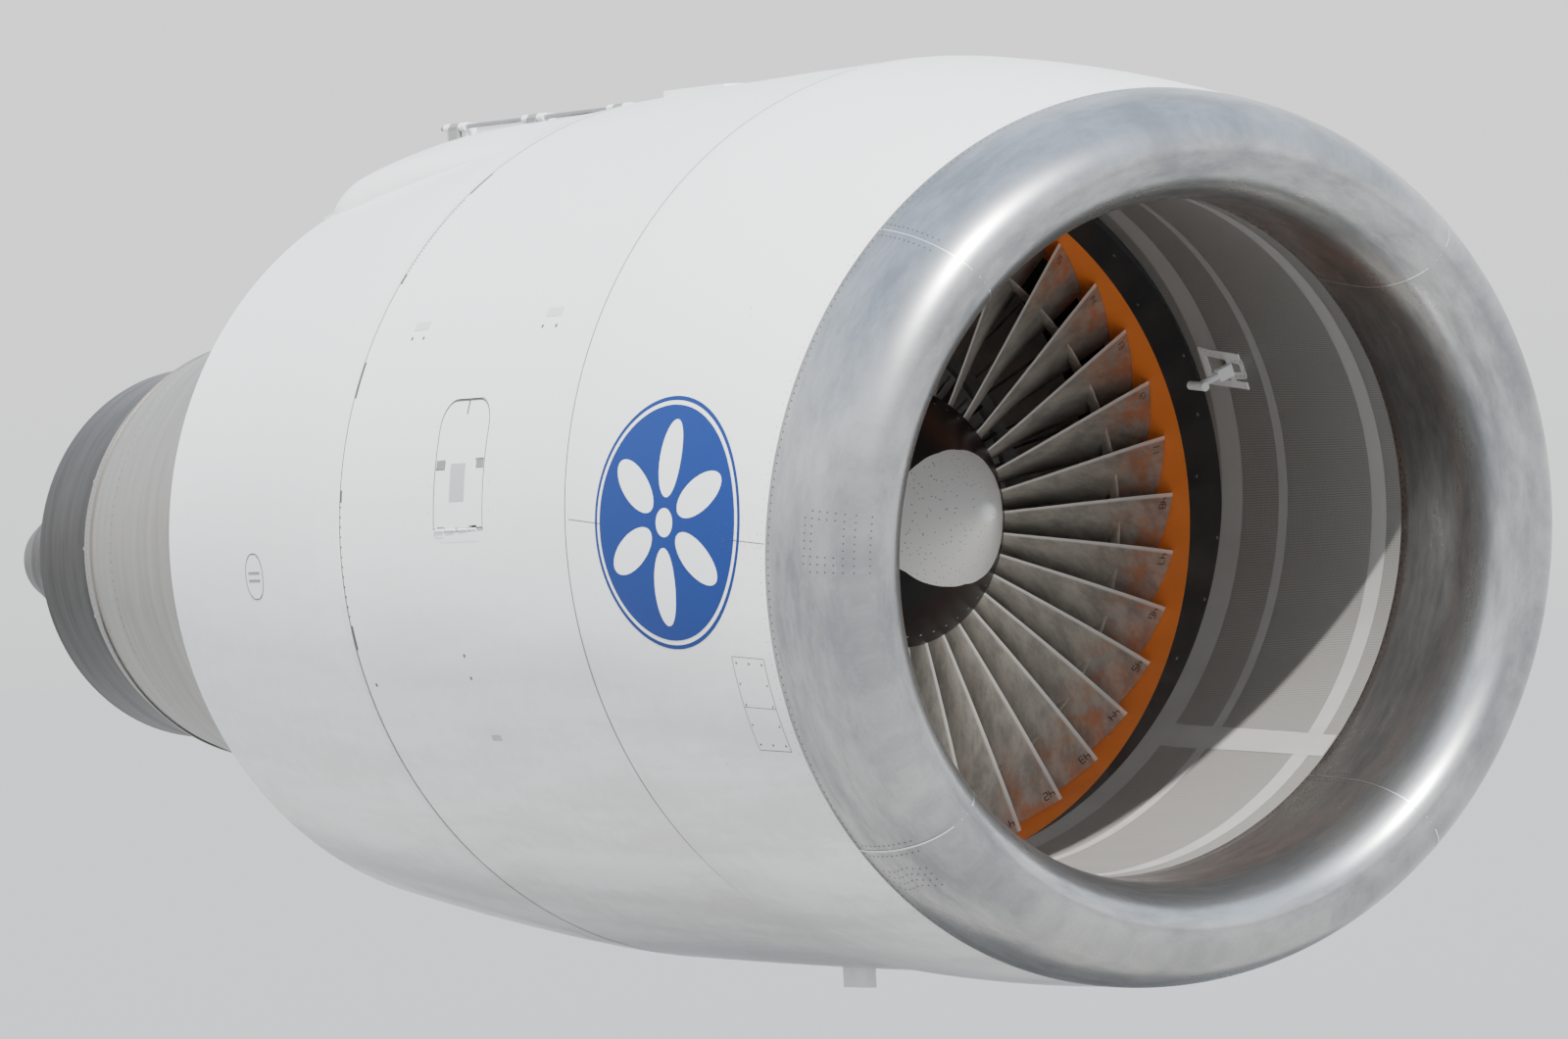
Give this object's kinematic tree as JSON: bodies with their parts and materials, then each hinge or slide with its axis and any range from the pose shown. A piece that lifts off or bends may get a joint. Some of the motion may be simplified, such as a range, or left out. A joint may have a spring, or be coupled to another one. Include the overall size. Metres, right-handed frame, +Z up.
{
  "type": "jet engine",
  "caption": "Large turbofan jet engine in its nacelle: polished inlet lip, white hinged cowls, wide fan, core, thrust reverser, nozzle and exhaust plug.",
  "frame": {"origin": "middle of the flat top of the hanging pad, on top of the beam over the engine", "axes": "+X forward along the engine axis towards the inlet, +Y to the engine's left, +Z up out of the hanging pad"},
  "size_m": [8.1307, 2.996, 3.0596],
  "materials": {
    "polished_lip": "polished",
    "white_paint": "gloss",
    "liner": "matte",
    "bare_metal": "satin",
    "dark_metal": "matte",
    "steel": "satin",
    "titanium": "satin",
    "rub": "matte",
    "spinner_black": "satin"
  },
  "bodies": {
    "engine": {"inlet_lip": "polished_lip", "inlet_outer_barrel": "white_paint", "inlet_inner_barrel": "liner", "inlet_bulkheads": "bare_metal", "inlet_probe": "white_paint", "service_panel": "white_paint", "fan_case": "dark_metal", "rub_strip": "rub", "outlet_vanes": "steel", "fan_frame": "steel", "booster_case": "titanium", "booster_stators": "steel", "compressor_case": "titanium", "compressor_stators": "steel", "combustor_case": "bare_metal", "combustor_liner": "steel", "fuel_nozzles": "steel", "turbine_case": "bare_metal", "turbine_stators": "steel", "turbine_rear_frame": "steel", "aft_core_cowl": "bare_metal", "core_nozzle": "dark_metal", "exhaust_plug": "dark_metal", "hanger_beam": "white_paint", "forward_mount": "steel", "aft_mount": "steel", "hinge_pins": "steel", "accessory_gearbox": "bare_metal", "accessories": "steel", "oil_tank": "bare_metal", "engine_pipes": "steel", "shaft_bearings": "steel", "drain_mast": "white_paint"},
    "low_rotor": {"spinner": "spinner_black", "fan_disk": "titanium", "fan_blades": "titanium", "booster_rotor": "titanium", "low_shaft": "steel", "low_turbine_rotor": "titanium"},
    "high_rotor": {"compressor_rotor": "titanium", "high_turbine_rotor": "titanium"},
    "tower_shaft": {"tower_shaft": "steel"},
    "fan_cowl_left": {"fan_cowl_left": "white_paint"},
    "fan_cowl_right": {"fan_cowl_right": "white_paint"},
    "fan_cowl_latches": {"fan_cowl_latches": "steel"},
    "access_door": {"access_door": "white_paint"},
    "door_latches": {"door_latches": "steel"},
    "reverser_left": {"reverser_half_left": "liner", "cascades_left": "bare_metal"},
    "reverser_right": {"reverser_half_right": "liner", "cascades_right": "bare_metal"},
    "reverser_latches": {"reverser_latches": "steel"},
    "sliding_cowl_left": {"sliding_cowl_left": "white_paint"},
    "sliding_cowl_right": {"sliding_cowl_right": "white_paint"},
    "blocker_door_l1": {"blocker_door_l1": "liner"},
    "blocker_door_l2": {"blocker_door_l2": "liner"},
    "blocker_door_l3": {"blocker_door_l3": "liner"},
    "blocker_door_r1": {"blocker_door_r1": "liner"},
    "blocker_door_r2": {"blocker_door_r2": "liner"},
    "blocker_door_r3": {"blocker_door_r3": "liner"}
  },
  "joints": [
    {"name": "low_rotor_spin", "type": "hinge", "parent": "engine", "child": "low_rotor", "pos_m": [0.9, 0, -1.485], "axis": [1, 0, 0], "continuous": true},
    {"name": "high_rotor_spin", "type": "hinge", "parent": "engine", "child": "high_rotor", "pos_m": [-0.6, 0, -1.485], "axis": [1, 0, 0], "continuous": true},
    {"name": "tower_shaft_spin", "type": "hinge", "parent": "engine", "child": "tower_shaft", "pos_m": [-0.14, 0, -1.885], "axis": [0, 0, 1], "continuous": true},
    {"name": "fan_cowl_left_hinge", "type": "hinge", "parent": "engine", "child": "fan_cowl_left", "pos_m": [0.6, 0.205, -0.045], "axis": [1, 0, 0], "range_deg": [0, 45]},
    {"name": "fan_cowl_right_hinge", "type": "hinge", "parent": "engine", "child": "fan_cowl_right", "pos_m": [0.6, -0.205, -0.045], "axis": [-1, 0, 0], "range_deg": [0, 45]},
    {"name": "reverser_left_hinge", "type": "hinge", "parent": "engine", "child": "reverser_left", "pos_m": [-1, 0.205, -0.045], "axis": [1, 0, 0], "range_deg": [0, 40]},
    {"name": "reverser_right_hinge", "type": "hinge", "parent": "engine", "child": "reverser_right", "pos_m": [-1, -0.205, -0.045], "axis": [-1, 0, 0], "range_deg": [0, 40]},
    {"name": "sliding_cowl_left_slide", "type": "slide", "parent": "reverser_left", "child": "sliding_cowl_left", "axis": [-1, 0, 0], "range_m": [0, 0.5]},
    {"name": "sliding_cowl_right_slide", "type": "slide", "parent": "reverser_right", "child": "sliding_cowl_right", "axis": [-1, 0, 0], "range_m": [0, 0.5]},
    {"name": "blocker_door_l1_hinge", "type": "hinge", "parent": "sliding_cowl_left", "child": "blocker_door_l1", "pos_m": [-0.396, 0.71243, -2.35438], "axis": [0, 0.7735, 0.6338], "range_deg": [0, 62]},
    {"name": "blocker_door_l2_hinge", "type": "hinge", "parent": "sliding_cowl_left", "child": "blocker_door_l2", "pos_m": [-0.396, 1.124, -1.485], "axis": [0, 0, 1], "range_deg": [0, 62]},
    {"name": "blocker_door_l3_hinge", "type": "hinge", "parent": "sliding_cowl_left", "child": "blocker_door_l3", "pos_m": [-0.396, 0.71243, -0.61562], "axis": [0, -0.7735, 0.6338], "range_deg": [0, 62]},
    {"name": "blocker_door_r1_hinge", "type": "hinge", "parent": "sliding_cowl_right", "child": "blocker_door_r1", "pos_m": [-0.396, -0.71243, -2.35438], "axis": [0, 0.7735, -0.6338], "range_deg": [0, 62]},
    {"name": "blocker_door_r2_hinge", "type": "hinge", "parent": "sliding_cowl_right", "child": "blocker_door_r2", "pos_m": [-0.396, -1.124, -1.485], "axis": [0, 0, -1], "range_deg": [0, 62]},
    {"name": "blocker_door_r3_hinge", "type": "hinge", "parent": "sliding_cowl_right", "child": "blocker_door_r3", "pos_m": [-0.396, -0.71243, -0.61562], "axis": [0, -0.7735, -0.6338], "range_deg": [0, 62]},
    {"name": "fan_cowl_latches_hinge", "type": "hinge", "parent": "fan_cowl_right", "child": "fan_cowl_latches", "pos_m": [0.59515, -0.076, -2.96326], "axis": [-0.9998, 0, 0.02], "range_deg": [0, 75]},
    {"name": "access_door_hinge", "type": "hinge", "parent": "fan_cowl_right", "child": "access_door", "pos_m": [0.63, -1.48805, -1.4525], "axis": [1, 0, 0], "range_deg": [0, 100]},
    {"name": "door_latches_hinge", "type": "hinge", "parent": "access_door", "child": "door_latches", "pos_m": [0.63, -1.46642, -1.25025], "axis": [1, 0, 0], "range_deg": [0, 60]},
    {"name": "reverser_latches_hinge", "type": "hinge", "parent": "reverser_right", "child": "reverser_latches", "pos_m": [-0.84917, -0.046, -2.88457], "axis": [-0.9939, 0, 0.1107], "range_deg": [0, 75]}
  ],
  "couplings": [
    {"joint": "tower_shaft_spin", "follows": "high_rotor_spin", "ratio": 2},
    {"joint": "blocker_door_l1_hinge", "follows": "sliding_cowl_left_slide", "rad_per_m": 2.1642},
    {"joint": "blocker_door_l2_hinge", "follows": "sliding_cowl_left_slide", "rad_per_m": 2.1642},
    {"joint": "blocker_door_l3_hinge", "follows": "sliding_cowl_left_slide", "rad_per_m": 2.1642},
    {"joint": "blocker_door_r1_hinge", "follows": "sliding_cowl_right_slide", "rad_per_m": 2.1642},
    {"joint": "blocker_door_r2_hinge", "follows": "sliding_cowl_right_slide", "rad_per_m": 2.1642},
    {"joint": "blocker_door_r3_hinge", "follows": "sliding_cowl_right_slide", "rad_per_m": 2.1642}
  ]
}
